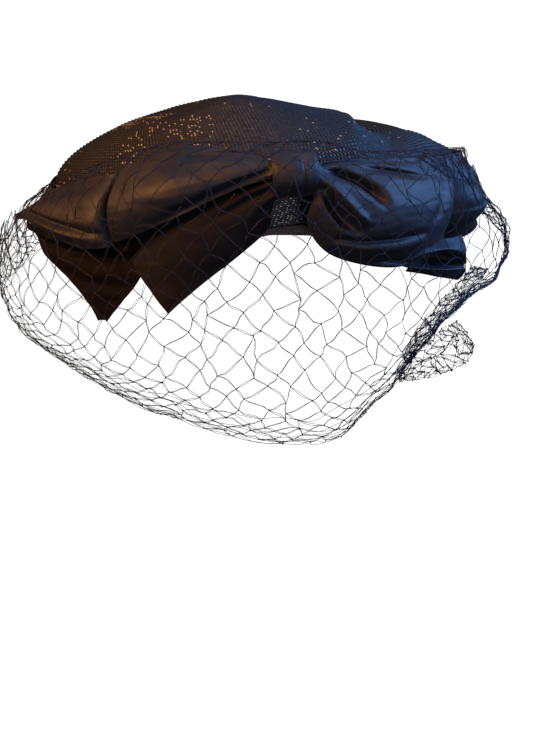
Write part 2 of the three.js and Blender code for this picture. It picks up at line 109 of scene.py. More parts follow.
def spread(count, share):
    """Weights of evenly spaced places for a smooth line through them."""
    return [between(np.eye(count)[k], share) for k in range(count)]


def share_at(places, value):
    """Share of the way through a table's rows where its first column reaches a value."""
    return np.interp(value, places, np.linspace(0, 1, len(places)))


def ripple(x, y, wave, seed, stretch=1.0):
    """Soft unevenness from about -1 to 1, its waves drawn out along x."""
    draw = np.random.default_rng(seed)
    total = np.zeros(np.broadcast(x, y).shape)
    for _ in range(9):
        turn = draw.uniform(0, 2 * np.pi)
        length = wave * draw.uniform(0.6, 1.6)
        start = draw.uniform(0, 2 * np.pi)
        run = x * np.cos(turn) / stretch + y * np.sin(turn)
        total += np.sin(2 * np.pi * run / length + start)
    return total / 4.5


def rim_height(angle):
    facing = np.cos(np.radians(angle))
    front, back = FRONT_ARCH_RISE * facing**3, BACK_ARCH_RISE * facing**2
    return np.where(facing > 0, front, back)


def straw_stand_off(angle, height):
    rim = rim_height(angle)
    inward = (1 - np.clip((height - rim) / (SHOULDER_HEIGHT - rim), 0, 1)) ** 1.7
    sideways = np.sin(np.radians(angle)) ** 2
    width_step = (CROWN[0] - HEAD_OPENING[0]) / 2 - STRAW_THICKNESS
    depth_step = (CROWN[1] - HEAD_OPENING[1]) / 2 - STRAW_THICKNESS
    return -inward * mix(depth_step, width_step, sideways)


def crown_surface(angle, up):
    """The crown's outer face, from the rim (up 0) over the shoulder to the tip (up 1)."""
    turn = np.radians(angle)
    wall = np.clip(up / SIDE_WALL_SHARE, 0, 1)
    flare = 1 - (1 - wall) ** 1.7
    half_width = mix(HEAD_OPENING[0] / 2 + STRAW_THICKNESS, CROWN[0] / 2, flare)
    half_depth = mix(HEAD_OPENING[1] / 2 + STRAW_THICKNESS, CROWN[1] / 2, flare)
    t = np.clip((up - SIDE_WALL_SHARE) / (1 - SIDE_WALL_SHARE), 0, 1)
    radius_share = np.cos(t * np.pi / 2)
    dome = SHOULDER_HEIGHT + DOME_RISE * (1 - radius_share**1.6) ** 0.6
    for dent_angle, dent_share, depth, half_angle, half_share in DOME_DENTS:
        aside = ((angle - dent_angle + 180) % 360 - 180) / half_angle
        outward = (radius_share - dent_share) / half_share
        fade = np.minimum(np.minimum(1, 6 * radius_share), 12 * (1 - radius_share))
        dome = dome - depth * bell(aside) * bell(outward) * fade
    x = radius_share * half_width * np.sin(turn) + TIP_SHIFT * (1 - radius_share**2)
    y = -radius_share * half_depth * np.cos(turn)
    dome = dome + fold_relief(x, y, DOME_RIDGE, unit=1) * np.clip(9 * (1 - radius_share), 0, 1)
    height = np.where(up < SIDE_WALL_SHARE, mix(rim_height(angle), SHOULDER_HEIGHT, wall), dome)
    return np.stack(np.broadcast_arrays(x, y, height), axis=-1)


def fold_relief(angle, height, folds, unit=MM_PER_DEGREE):
    """How far folds lift or sink the cloth. A fold is its kind, its bent line as (angle, height)
    points, its depth, its width and its strength along it. A pleat climbs slowly on the side
    that lies on top, to the left of its line, and drops off at the line."""
    relief = np.zeros(np.broadcast(angle, height).shape)
    x, y = angle * unit, height + 0 * angle
    for kind, line, depth, width, strength in folds:
        corners = np.array(line, float) * (unit, 1)
        steps = np.linalg.norm(np.diff(corners, axis=0), axis=1)
        starts = np.concatenate([[0], np.cumsum(steps)])
        nearest = np.full(relief.shape, 1e9)
        side, share = np.zeros(relief.shape), np.zeros(relief.shape)
        for k, (corner, step) in enumerate(zip(corners[:-1], np.diff(corners, axis=0))):
            t = ((x - corner[0]) * step[0] + (y - corner[1]) * step[1]) / steps[k] ** 2
            t = np.clip(t, 0, 1)
            off_x, off_y = x - corner[0] - t * step[0], y - corner[1] - t * step[1]
            distance = np.hypot(off_x, off_y)
            closer = distance < nearest
            nearest = np.where(closer, distance, nearest)
            turned = np.sign(step[0] * off_y - step[1] * off_x)
            side = np.where(closer, turned * distance, side)
            share = np.where(closer, (starts[k] + t * steps[k]) / starts[-1], share)
        power = depth * between(strength, share)
        if kind == "pleat":
            climb = np.exp(-np.clip(side, 0, None) / width)
            relief += power * np.where(side > 0, climb, bell(side / (0.16 * width)))
        else:
            sign = 1 if kind == "ridge" else -1
            relief += sign * power * bell(nearest / width)
    return relief


def grid(along_steps, up_steps):
    along = np.linspace(0, 1, along_steps + 1)[:, None]
    up = np.linspace(0, 1, up_steps + 1)[None, :]
    return np.broadcast_arrays(along, up)


def unit(vectors):
    return vectors / (np.linalg.norm(vectors, axis=-1, keepdims=True) + 1e-12)


def grid_normals(points):
    return unit(np.cross(np.gradient(points, axis=0), np.gradient(points, axis=1)))


def mesh_object(name, points, faces, material):
    mesh = bpy.data.meshes.new(name)
    mesh.from_pydata((np.asarray(points) * MM).tolist(), [], faces)
    mesh.shade_smooth()
    mesh.materials.append(material)
    obj = bpy.data.objects.new(name, mesh)
    bpy.context.scene.collection.objects.link(obj)
    return obj


def set_uv(obj, name, corner_uv):
    layer = obj.data.uv_layers.new(name=name)
    layer.data.foreach_set("uv", np.asarray(corner_uv, np.float32).ravel())


def quads(index):
    """A face for each four neighbours in a grid of point numbers."""
    corners = [index[:-1, :-1], index[1:, :-1], index[1:, 1:], index[:-1, 1:]]
    return np.stack(corners, axis=-1).reshape(-1, 4)


def border(index):
    """Point numbers round the edge of a grid, in order."""
    return np.concatenate([index[:-1, 0], index[-1, :-1], index[:0:-1, -1], index[0, :0:-1]])


def cloth(name, points, material):
    """A sheet of satin from a grid of points of its face, with its back and its edges."""
    index = np.arange(points[..., 0].size).reshape(points.shape[:2])
    count = index.size
    back = points - SATIN_THICKNESS * grid_normals(points)
    face = quads(index)
    edge = border(index)
    after = np.roll(edge, -1)
    rim = np.stack([after, edge, edge + count, after + count], axis=-1)
    faces = np.concatenate([face, face[:, ::-1] + count, rim])
    both = np.concatenate([points.reshape(-1, 3), back.reshape(-1, 3)])
    obj = mesh_object(name, both, faces.tolist(), material)
    along = np.linalg.norm(np.diff(points, axis=0), axis=-1).mean(axis=1)
    up = np.linalg.norm(np.diff(points, axis=1), axis=-1).mean(axis=0)
    u = np.concatenate([[0], np.cumsum(along)])
    v = np.concatenate([[0], np.cumsum(up)])
    uv = np.stack(np.broadcast_arrays(u[:, None], v[None, :]), axis=-1).reshape(-1, 2) * MM
    set_uv(obj, "cloth", np.concatenate([uv, uv])[faces.ravel()])
    return obj


def threads(name, paths, radii, material):
    """Thin three-sided tubes along paths, all with as many points."""
    sides = 3
    count, points = paths.shape[:2]
    heading = unit(np.gradient(paths, axis=1))
    helper = np.where(np.abs(heading[..., 2:]) < 0.9, (0.0, 0.0, 1.0), (1.0, 0.0, 0.0))
    across = unit(np.cross(heading, helper))
    other = np.cross(heading, across)
    turn = np.arange(sides) * 2 * np.pi / sides
    ring = across[..., None, :] * np.cos(turn)[:, None] + other[..., None, :] * np.sin(turn)[:, None]
    tube = paths[..., None, :] + radii[:, None, None, None] * ring
    index = np.arange(count * points * sides).reshape(count, points, sides)
    here, there = index, np.roll(index, -1, axis=2)
    walls = np.stack([here[:, :-1], there[:, :-1], there[:, 1:], here[:, 1:]], axis=-1)
    ends = np.concatenate([index[:, 0, ::-1], index[:, -1]])
    faces = walls.reshape(-1, 4).tolist() + ends.tolist()
    return mesh_object(name, tube.reshape(-1, 3), faces, material)


def srgb(hex_colour):
    parts = [int(hex_colour[k:k + 2], 16) / 255 for k in (1, 3, 5)]
    linear = [p / 12.92 if p <= 0.04045 else ((p + 0.055) / 1.055) ** 2.4 for p in parts]
    return (*linear, 1.0)


def add(material, kind, links=None, **settings):
    """Adds a node to a material. Settings are its own properties, links its inputs by name or
    place: another node's output, or a plain value."""
    tree = material.node_tree
    node = tree.nodes.new(kind)
    for key, value in settings.items():
        setattr(node, key, value)
    for key, value in (links or {}).items():
        if isinstance(value, bpy.types.NodeSocket):
            tree.links.new(value, node.inputs[key])
        else:
            node.inputs[key].default_value = value
    return node


def start_material(name, **values):
    material = bpy.data.materials.new(name)
    material.use_nodes = True
    surface = material.node_tree.nodes["Principled BSDF"]
    for key, value in values.items():
        surface.inputs[key.replace("_", " ").title().replace("Ior", "IOR")].default_value = value
    return material, surface


def maths(material, operation, *values):
    return add(material, "ShaderNodeMath", dict(enumerate(values)), operation=operation).outputs[0]


def ramp(material, value, low, high, low_result=0.0, high_result=1.0):
    """Turns the stretch of a value from low to high into results that hold on past both ends."""
    links = {0: value, 1: low, 2: high, 3: low_result, 4: high_result}
    return add(material, "ShaderNodeMapRange", links).outputs[0]


def blend(material, share, start, end):
    links = {"Factor": share, 6: start, 7: end}
    return add(material, "ShaderNodeMix", links, data_type="RGBA").outputs[2]


def noise(material, place, scale, detail):
    links = {"Vector": place, "Scale": scale, "Detail": detail}
    return add(material, "ShaderNodeTexNoise", links).outputs["Fac"]


def dress(material, surface, colour, gloss=None, relief=None, strength=0, depth=0):
    """Gives a surface its colour, its roughness and a relief of some strength and depth."""
    join = material.node_tree.links.new
    join(colour, surface.inputs["Base Color"])
    if gloss:
        join(gloss, surface.inputs["Roughness"])
    if relief:
        links = {"Strength": strength, "Distance": depth, "Height": relief}
        join(add(material, "ShaderNodeBump", links).outputs[0], surface.inputs["Normal"])


# Acetate satin, woven with long floats along the ribbon: a broad soft gloss, no visible weave, and
# threads that catch the light a little unevenly.
def woven_acetate_satin(name, dark, light, glossy, dull, specular):
    material, surface = start_material(
        name, roughness=glossy, anisotropic=0.3, ior=1.5, specular_ior_level=specular
    )
    uv = add(material, "ShaderNodeUVMap", uv_map="cloth").outputs["UV"]
    # Warp threads lie 0.12 mm apart, too fine to show, so they are drawn in bundles of about 0.8 mm
    # that run for 17 mm, and the cloth clouds over in patches of 22 by 11 mm
    bundles = add(material, "ShaderNodeMapping", {"Vector": uv, "Scale": (60, 1250, 1)})
    streaks = noise(material, bundles.outputs[0], 1, 3)
    patches = add(material, "ShaderNodeMapping", {"Vector": uv, "Scale": (45, 90, 1)})
    both = maths(material, "ADD", streaks, noise(material, patches.outputs[0], 1, 4))
    colour = blend(material, ramp(material, both, 0.75, 1.25), srgb(dark), srgb(light))
    gloss = ramp(material, both, 0.75, 1.25, glossy, dull)
    dress(material, surface, colour, gloss, streaks, strength=0.12, depth=0.2 * MM)
    return material


# Lacquered straw braid, sewn in rings with small open loops: dark, with tiny painted glints on some loops and
# painted light on the wall.
def lacquered_open_straw():
    material, surface = start_material(
        "lacquered_open_straw", roughness=0.5, ior=1.5, specular_ior_level=0.32
    )
    # The map counts loops along a ring and rings outwards, each ring's loops set off from the last's
    uv = add(material, "ShaderNodeUVMap", uv_map="weave").outputs["UV"]
    parts = add(material, "ShaderNodeSeparateXYZ", {0: uv})
    loop, ring = parts.outputs[0], parts.outputs[1]
    ring_number = maths(material, "FLOOR", ring)
    slant = maths(material, "MULTIPLY_ADD", ring, 0.5, loop)
    shifted = maths(material, "MULTIPLY_ADD", ring_number, 0.37, slant)
    loop_height = maths(material, "SINE", maths(material, "MULTIPLY", shifted, 2 * np.pi))
    ring_wave = maths(material, "MULTIPLY_ADD", ring, 2 * np.pi, -np.pi / 2)
    height = maths(material, "ADD", loop_height, maths(material, "SINE", ring_wave))
    strand = ramp(material, height, -1.6, 1.4)
    loop_id = add(material, "ShaderNodeCombineXYZ", {0: maths(material, "FLOOR", shifted), 1: ring_number})
    chance = add(
        material, "ShaderNodeTexWhiteNoise", {"Vector": loop_id.outputs[0]}, noise_dimensions="3D"
    ).outputs["Value"]
    place = add(material, "ShaderNodeTexCoord").outputs["Object"]
    spot = add(material, "ShaderNodeSeparateXYZ", {0: place})
    # Painted light: below the shoulder the raised loops are painted paler than on the dome
    wall = ramp(material, spot.outputs[2], SHOULDER_HEIGHT * MM, 40 * MM, 0.0, 0.5)
    colour = blend(material, strand, srgb("#010203"), srgb("#0d0e13"))
    colour = blend(material, maths(material, "MULTIPLY", wall, strand), colour, srgb("#767079"))
    # Painted glints: some loops, in patches of 20 to 30 mm, are painted pale as painted highlights, on the
    # wall and on the left of the dome but hardly on the right
    left = ramp(material, spot.outputs[0], 20 * MM, -20 * MM, 0.08, 1.0)
    patch = ramp(material, noise(material, place, 30, 1), 0.5, 0.66, 0.0, 0.34)
    painted_glint_share = maths(material, "MAXIMUM", maths(material, "MULTIPLY", patch, left), wall)
    painted_glint = maths(material, "LESS_THAN", chance, painted_glint_share)
    painted_glint = maths(material, "MULTIPLY", painted_glint, ramp(material, strand, 0.72, 0.92))
    # The painted glints are warm gold on the dome and near-white on the wall
    pale = blend(material, wall, srgb("#a08f6c"), srgb("#fffaf4"))
    gloss = ramp(material, chance, 0.0, 1.0, 0.4, 0.75)
    colour = blend(material, painted_glint, colour, pale)
    dress(material, surface, colour, gloss, strand, strength=0.9, depth=0.5 * MM)
    return material


# Cotton grosgrain with cross ribs: dull, with fine dark grooves between the ribs.
def ribbed_grosgrain():
    material, surface = start_material("ribbed_grosgrain", roughness=0.8, sheen_weight=0.3, ior=1.5)
    uv = add(material, "ShaderNodeUVMap", uv_map="cloth").outputs["UV"]
    # Its threads give a grain of about 1 mm
    grain = noise(material, uv, 900, 3)
    colour = blend(material, grain, srgb("#2c1c1e"), srgb("#6a5052"))
    dress(material, surface, colour, relief=grain, strength=0.3, depth=0.2 * MM)
    return material


# Stiffened rayon net thread: matt navy with lighter flecks.
def rayon_net_thread():
    material, surface = start_material(
        "rayon_net_thread", roughness=0.7, ior=1.5, specular_ior_level=0.3
    )
    place = add(material, "ShaderNodeTexCoord").outputs["Object"]
    # The thread's twist of about 1 mm is drawn as light and dark flecks of that length
    flecks = noise(material, place, 900, 2)
    dress(material, surface, blend(material, flecks, srgb("#0a0b16"), srgb("#191c32")))
    return material


satin = woven_acetate_satin("woven_acetate_satin", "#06070f", "#0c0e1e", 0.57, 0.67, 0.5)
# The tails hang with the reverse of the ribbon out, which is dull and a shade redder
satin_reverse = woven_acetate_satin("satin_reverse_face", "#08060a", "#100d14", 0.64, 0.76, 0.17)
# The outer tail has a darker copy of the dull reverse: its near-black colour is painted shade
satin_reverse_painted_shade = woven_acetate_satin("satin_reverse_painted_shade", "#030203", "#080607", 0.7, 0.8, 0.09)
straw = lacquered_open_straw()
grosgrain = ribbed_grosgrain()
net_thread = rayon_net_thread()


RING_PITCH = 2.4
LOOP_PITCH = 1.8
STEPS_PER_RING = 4
AROUND_STEPS = 256


def face_corners(left, right, low, high):
    """The map's places at the four corners of each face, given its two sides and its two ends."""
    corners = [(left, low), (right, low), (right, high), (left, high)]
    pairs = [np.stack(np.broadcast_arrays(*corner), axis=-1) for corner in corners]
    return np.stack(pairs, axis=-2).reshape(-1, 2)


def straw_crown():
    """The crown in rings of braid, each a low ridge, with a plain inner face."""
    sample = np.linspace(0, 1, 400)
    profile = crown_surface(np.array(90.0), sample)
    lengths = np.concatenate([[0], np.cumsum(np.linalg.norm(np.diff(profile, axis=0), axis=1))])
    rings = int(round(lengths[-1] / RING_PITCH))
    steps = rings * STEPS_PER_RING
    up = np.interp(np.linspace(0, lengths[-1], steps + 1), lengths, sample)[:-2]
    ring = np.arange(steps + 1)[:-2] / STEPS_PER_RING
    angle = np.linspace(0, 360, AROUND_STEPS + 1)[:-1]
    base = crown_surface(angle[:, None], up[None, :])
    normal = grid_normals(np.concatenate([base[-1:], base, base[:1]]))[1:-1]
    relief = 0.28 * np.cos(2 * np.pi * (ring + 0.5)) - 0.1
    uneven = 0.25 * ripple(base[..., 0], base[..., 1], 26, 5)
    outer = base + normal * (relief[None, :, None] + uneven[..., None])
    inner = (base - normal * 1.3)[:, ::STEPS_PER_RING]
    rows, columns = outer.shape[:2]
    inner_columns = inner.shape[1]

    def closed_grid(start, across):
        index = start + np.arange(rows * across).reshape(rows, across)
        return np.concatenate([index, index[:1]])

    index = closed_grid(0, columns)
    lining = closed_grid(rows * columns, inner_columns)
    tip_index = rows * (columns + inner_columns)
    rim = np.stack([index[1:, 0], index[:-1, 0], lining[:-1, 0], lining[1:, 0]], axis=-1)
    tip = np.array([outer[:, -1].mean(axis=0), inner[:, -1].mean(axis=0)])
    fan = [[a, b, tip_index] for a, b in zip(index[:-1, -1], index[1:, -1])]
    under = [[b, a, tip_index + 1] for a, b in zip(lining[:-1, -1], lining[1:, -1])]
    faces = quads(index).tolist() + quads(lining)[:, ::-1].tolist() + rim.tolist() + fan + under
    points = np.concatenate([outer.reshape(-1, 3), inner.reshape(-1, 3), tip])
    obj = mesh_object("straw_crown", points, faces, straw)
    # Each ring has a whole number of loops
    radius = np.hypot(base[..., 0], base[..., 1]).mean(axis=0)
    number = np.arange(columns - 1) // STEPS_PER_RING
    ring_radius = np.array([radius[min(k * STEPS_PER_RING + 2, columns - 1)] for k in number])
    loops = np.round(2 * np.pi * ring_radius / LOOP_PITCH)
    start = np.arange(rows)[:, None] / rows
    end = np.arange(1, rows + 1)[:, None] / rows
    # A corner at the top of a ring stays in that ring
    high = np.where(ring[1:] % 1 == 0, ring[1:] - 1e-3, ring[1:])
    weave = face_corners(start * loops, end * loops, ring[:-1], high)
    # The lining's loops are as many round, and its faces run over whole rings
    loops = loops[::STEPS_PER_RING][:inner_columns - 1]
    bottom = np.arange(inner_columns - 1.0)
    lining_weave = face_corners(start * loops, end * loops, bottom + 1 - 1e-3, bottom)
    rest = np.zeros((len(rim) * 4 + (len(fan) + len(under)) * 3, 2))
    set_uv(obj, "weave", np.concatenate([weave, lining_weave, rest]))
    return obj


RIBS = 434
STEPS_PER_RIB = 4
RIB_RELIEF = 0.13
RIM_LENGTH = 541


def rim_binding():
    """Grosgrain folded over the rim, with a rib every 1.25 mm round the head opening."""
    steps = RIBS * STEPS_PER_RIB
    inside = STRAW_THICKNESS / 2 + 0.6
    outside = inside + BINDING_THICKNESS
    fold = np.linspace(0.2, 2.94, 7)
    face = [(outside, BINDING_OUTER_LEG), (outside, 1), (outside, -0.6)]
    face += [(outside * np.cos(t), -0.8 - outside * 0.9 * np.sin(t)) for t in fold]
    face += [(-outside, -0.6), (-outside, 3), (-outside, BINDING_INNER_LEG)]
    back = [(-inside, BINDING_INNER_LEG), (-inside, 2), (-inside, -0.4), (0, -inside + 0.2)]
    back += [(inside, -0.4), (inside, BINDING_OUTER_LEG)]
    section = np.array(face + back)
    angle = np.linspace(0, 360, steps + 1)[:-1]
    on_rim = np.zeros(steps)
    rim = crown_surface(angle, on_rim)
    ahead = crown_surface(angle + 1, on_rim) - crown_surface(angle - 1, on_rim)
    above = crown_surface(angle, np.full(steps, 0.06))
    facing = unit(np.cross(ahead, above - rim))
    rise = unit(np.cross(facing, ahead))
    rise *= np.sign(rise[:, 2:])
    rib = RIB_RELIEF * np.cos(np.arange(steps) * 2 * np.pi / STEPS_PER_RIB)[:, None]
    ribbed = np.arange(len(section)) < len(face)
    sideways = np.where(ribbed, np.sign(section[:, 0] + 1e-9), 0)
    outward = section[:, 0] - STRAW_THICKNESS / 2 + sideways * rib
    drop = np.where(section[:, 1] < -0.5, -1, 0) * rib * ribbed
    points = rim[:, None] + facing[:, None] * outward[..., None]
    points = points + rise[:, None] * (section[:, 1] + drop)[..., None]
    rows, columns = points.shape[:2]
    index = np.arange(rows * columns).reshape(rows, columns)
    index = np.concatenate([index, index[:1]])
    index = np.concatenate([index, index[:, :1]], axis=1)
    corners = [index[:-1, :-1], index[:-1, 1:], index[1:, 1:], index[1:, :-1]]
    faces = np.stack(corners, axis=-1).reshape(-1, 4)
    obj = mesh_object("rim_ribbon", points.reshape(-1, 3), faces, grosgrain)
    steps_round = np.cumsum(np.linalg.norm(np.diff(rim, axis=0), axis=1))
    turn = np.concatenate([[0], steps_round, [RIM_LENGTH]])[:, None] * MM
    # The map takes the section's points as 1.6 mm apart
    wide = np.arange(columns + 1) * 1.6 * MM
    uv = np.stack(np.broadcast_arrays(turn, wide), axis=-1)
    corner_uv = [uv[:-1, :-1], uv[:-1, 1:], uv[1:, 1:], uv[1:, :-1]]
    set_uv(obj, "cloth", np.stack(corner_uv, axis=-2).reshape(-1, 2))
    return obj


SWATHE_FROM, SWATHE_TO = 8, 351
SWATHE_TOP = 50
SWATHE_LOW_LIFT = 1.5
SWATHE_SHARES = [0, 0.1, 0.22, 0.36, 0.52, 0.68, 0.82, 0.92, 1]
SWATHE_STAND_OFFS = [-13, -2, 7.5, 12.5, 14.5, 13, 9, 4.8, 2.6]
SWATHE_FOLDS = [
    ("valley", [(34, 12), (92, 18), (150, 22)], 4, 4, (0, 1, 1, 0)),
    ("valley", [(40, 34), (84, 32), (128, 30)], 2.6, 3.5, (0, 1, 1, 0)),
    ("valley", [(110, 38), (173, 34), (236, 31)], 3.2, 3.6, (0, 1, 1, 0)),
    ("valley", [(140, 12), (201, 16), (262, 20)], 3.4, 4, (0, 1, 1, 0)),
    ("valley", [(232, 24), (279, 17), (326, 9)], 7, 6, (0, 1, 1, 0)),
    ("pleat", [(150, 27), (110, 25), (70, 24), (44, 21)], 1.6, 6, (0, 1, 1, 0.4)),
    ("pleat", [(250, 27), (205, 24), (160, 21), (128, 19)], 1.6, 6, (0, 1, 1, 0)),
    ("pleat", [(226, 42), (190, 42), (150, 43), (112, 42)], 1.2, 5, (0, 1, 1, 0)),
    ("pleat", [(318, 17), (290, 25), (262, 30), (236, 30)], 1.6, 6, (0, 1, 1, 0)),
    ("ridge", [(238, 10), (278, 8), (316, 3)], 1.6, 2.6, (0, 1, 1, 0)),
    ("ridge", [(60, 6), (120, 8), (180, 8), (240, 9)], 1.4, 3, (0, 1, 1, 0)),
]


def satin_swathe():
    along, up = grid(480, 60)
    angle = mix(SWATHE_FROM, SWATHE_TO, along)
    # The top edge dips on the left
    top = SWATHE_TOP - 6.5 * bell((angle - 277) / 20)
    height = mix(rim_height(angle) + SWATHE_LOW_LIFT, top, up)
    full = between(SWATHE_STAND_OFFS, share_at(SWATHE_SHARES, up))
    full = full + fold_relief(angle, height, SWATHE_FOLDS)
    # To the right of the bow its low edge stands out further
    full = full + 9 * bell((angle - 72) / 34) * bell(up / 0.3)
    full = full + 0.5 * ripple(angle * MM_PER_DEGREE, height, 15, 11, stretch=4)
    # Under the bow and the side swathe it lies flat on the straw
    swell = ease(angle, 38, 56) * (1 - ease(angle, 292, 310))
    flat = straw_stand_off(angle, height) + 2.7
    hem = 0.5 * bell((1 - up) * 48 / 1.2)
    stand_off = np.maximum(flat, mix(flat, full, swell)) + hem
    return cloth("draped_swathe", around(angle, height, stand_off), satin)


# Each ribbon is a row for each section along it: the angle and height of its lower and upper edge,
# and the stand-off of its lower edge, middle and upper edge.
LEFT_LOOP = [
    (-3.6, 46, -3.6, 51.5, 15, 15.8, 13.5),
    (-9, 46.5, -8.5, 55.5, 14.5, 16.5, 7.5),
    (-18, 40.5, -17.5, 60.5, 15, 18, 2),
    (-27, 32.5, -26.5, 62.5, 16.5, 20, -0.5),
    (-36, 25.5, -35, 60, 16, 20.5, 1),
    (-42.5, 21.5, -41.5, 55, 14.5, 19, 4),
]
RIGHT_LOOP = [
    (0.4, 40.5, 0.4, 50.5, 15, 15.8, 13.5),
    (1.4, 38, 4.5, 52, 13.5, 17, 10.5),
    (0.2, 26, 9.5, 52.5, 8.5, 19.5, 8.5),
    (4.2, 13, 16.5, 51.5, 7, 21.5, 7.5),
    (12.6, 5.6, 25, 51, 8, 21.5, 7),
    (22.5, 2.2, 32, 50.5, 8.5, 20, 7),
    (30, 4.5, 38.5, 49.5, 9, 18.5, 7.5),
]
FRONT_TAIL = [
    (-3.6, 39.5, -3.6, 45, 15, 15.6, 15),
    (-7.2, 36.5, -7.4, 46, 12, 14.6, 12.5),
    (-8.4, 25, -12, 45.5, 6.5, 13, 10.5),
    (-15, 14, -20.8, 40.5, 7.6, 13.6, 9.5),
    (-23.2, 2.5, -30.4, 31, 8.4, 13, 9.5),
    (-32.8, -12, -40.8, 13, 8.4, 10.8, 11),
]
OUTER_TAIL = [
    (-88, 27.5, -38.5, 24, 16.6, 15.6, 10.5),
    (-79, 21.5, -38.5, 17, 15.6, 12.4, 7.4),
    (-69, 11, -38.8, 11, 14.6, 9.6, 6),
    (-60.5, 1, -40.5, 3.5, 13, 8.8, 6.4),
    (-55.5, -8, -45.8, -7, 11.2, 8.6, 7.4),
    (-52.4, -16.4, -50.8, -16.6, 10.4, 9.6, 9.2),
]
OUTER_TAIL_FOLDS = [
    ("ridge", [(-84, 25.5), (-70, 22), (-56, 18.5), (-42, 16)], 1.8, 1.7, (0.6, 1, 1, 0.5)),
    ("valley", [(-80, 21.5), (-68, 17.5), (-55, 14), (-41, 12)], 2.4, 2.6, (0.6, 1, 1, 0.5)),
    ("ridge", [(-74, 14), (-62, 8), (-52, 5), (-41, 5)], 0.5, 3, (0.6, 1, 1, 0.3)),
    ("valley", [(-68, 9), (-58, 2), (-50, 0), (-42, 1)], 0.8, 3, (0.5, 1, 1, 0.3)),
]
SIDE_SWATHE = [
    (-45.2, 20, -45, 51.2, 4.2, 5.5, 2.8),
    (-46.2, 18.6, -46.2, 51.5, 15.2, 17.8, 4.8),
    (-54, 18.6, -54, 50, 16.4, 19.2, 6),
    (-65, 24.4, -65, 46, 17.4, 19.6, 8),
    (-78, 29, -77, 39.5, 18.3, 18.8, 10.5),
    (-90, 28.6, -89, 33.6, 20.2, 19.5, 15),
    (-97, 27.6, -96, 28.8, 24, 24, 23.5),
]

# Folds of the bow, as its face shows them: kind, line, depth, width and strength
LEFT_LOOP_FOLDS = [
    ("valley", [(-6, 55.4), (-13.5, 58), (-20, 58.6), (-28, 57.6)], 3.4, 1.1, (1, 1, 0.8, 0)),
    ("ridge", [(-6, 53.6), (-14, 54.8), (-22, 55.5), (-30, 54)], 0.8, 1.1, (1, 1, 0.6, 0)),
    ("ridge", [(-16, 50), (-28, 46), (-38, 43)], 0.7, 6, (0.2, 1, 0)),
    ("valley", [(-8, 50), (-14, 46), (-20.5, 40.6), (-27, 34.6), (-34, 29)], 2.4, 1.5, (1, 1, 1, 0.6, 0)),
    ("valley", [(-41, 53), (-39.8, 46), (-40, 40)], 0.9, 1.4, (1, 0.7, 0)),
    ("ridge", [(-38, 52), (-36, 45), (-37, 37), (-39, 28)], 0.4, 2.4, (1, 0.7, 0.7, 0)),
]
RIGHT_LOOP_FOLDS = [
    ("valley", [(4, 51), (12, 51.2), (20, 50.6), (30, 49.6)], 1.6, 0.8, (1, 1, 1, 0.4)),
    ("valley", [(4, 48.6), (8.2, 45.9), (11.4, 42.6), (14.4, 37.6), (16.6, 30.5)], 7, 2.2, (0.3, 1, 1, 1, 0)),
    ("valley", [(11, 49.4), (18, 46.8), (24, 44.4), (31, 41.4)], 3.2, 1.3, (0, 1, 1, 0)),
    ("ridge", [(2.1, 46), (4.8, 41.4), (7.4, 35), (9.7, 29), (12.7, 23)], 2.6, 1.9, (0.5, 1, 1, 1, 0)),
    ("valley", [(3.4, 40), (5, 34), (7.2, 27), (10, 21.6)], 5.2, 2.5, (0.5, 1, 1, 0.4)),
    ("valley", [(6, 18.6), (12, 16.4), (20, 16.2), (27, 17.5)], 2.2, 1.3, (0.6, 1, 1, 0.4)),
    ("ridge", [(5, 16), (12, 12.6), (20, 11.8), (27, 13)], 1.4, 2.6, (0.6, 1, 1, 0.6)),
    ("valley", [(15, 6.8), (20, 6.1), (27, 3.4)], 3.0, 1.2, (0, 1, 0.7)),
    ("valley", [(29, 48), (32, 42), (33.5, 35), (32, 27), (28, 21)], 1.1, 2.4, (0.4, 1, 1, 1, 0.2)),
]
FRONT_TAIL_FOLDS = [
    ("ridge", [(-7, 45), (-12, 41.6), (-17, 36.2), (-22, 31)], 1.5, 1.7, (1, 1, 0.7, 0)),
    ("valley", [(-7, 42), (-12, 38), (-18, 32), (-25, 26)], 1.2, 1.5, (1, 0.9, 0.5, 0)),
    ("ridge", [(-7, 39), (-11, 34), (-15, 28)], 0.8, 1.8, (1, 0.6, 0)),
    ("valley", [(-7.5, 36), (-10, 31), (-12.5, 25)], 0.9, 1.6, (1, 0.6, 0)),
]
SIDE_SWATHE_FOLDS = [
    ("valley", [(-46, 25), (-50, 26), (-58, 29), (-70, 32.5), (-82, 34)], 2.4, 1.5, (0.4, 1, 1, 1, 0)),
    ("ridge", [(-48, 21), (-58, 25), (-68, 29.4), (-80, 31)], 1.0, 1.6, (0.6, 1, 1, 0)),
    ("valley", [(-50, 46), (-58, 44), (-68, 41), (-80, 37.6)], 0.8, 2, (0.3, 1, 1, 0)),
]


def ribbon_chart(sections, along, up):
    low_angle, low_height, high_angle, high_height, low, middle, high = [
        between([row[k] for row in sections], along) for k in range(7)
    ]
    angle = mix(low_angle, high_angle, up)
    height = mix(low_height, high_height, up)
    stand_off = mix(low, high, up) + (middle - (low + high) / 2) * 4 * up * (1 - up)
    return angle, height, stand_off


def ribbon_points(sections, folds, along, up, seed):
    angle, height, stand_off = ribbon_chart(sections, along, up)
    stand_off = stand_off + fold_relief(angle, height, folds)
    x = angle * MM_PER_DEGREE
    stand_off = stand_off + 0.3 * ripple(x, height, 12, seed, stretch=3)
    stand_off = stand_off + 0.12 * ripple(x, height, 5, seed + 50, stretch=3)
    edge = np.minimum(up, 1 - up) * 40
    return angle, height, stand_off + 0.45 * bell(edge / 0.9)


def flat_ribbon(name, sections, folds, seed, face):
    along, up = grid(120, 80)
    if sections[-1][0] < sections[0][0]:
        along = 1 - along
    return cloth(name, around(*ribbon_points(sections, folds, along, up, seed)), face)


LOOP_BACK_OFF, LOOP_END_OFF = 3.3, 1.6


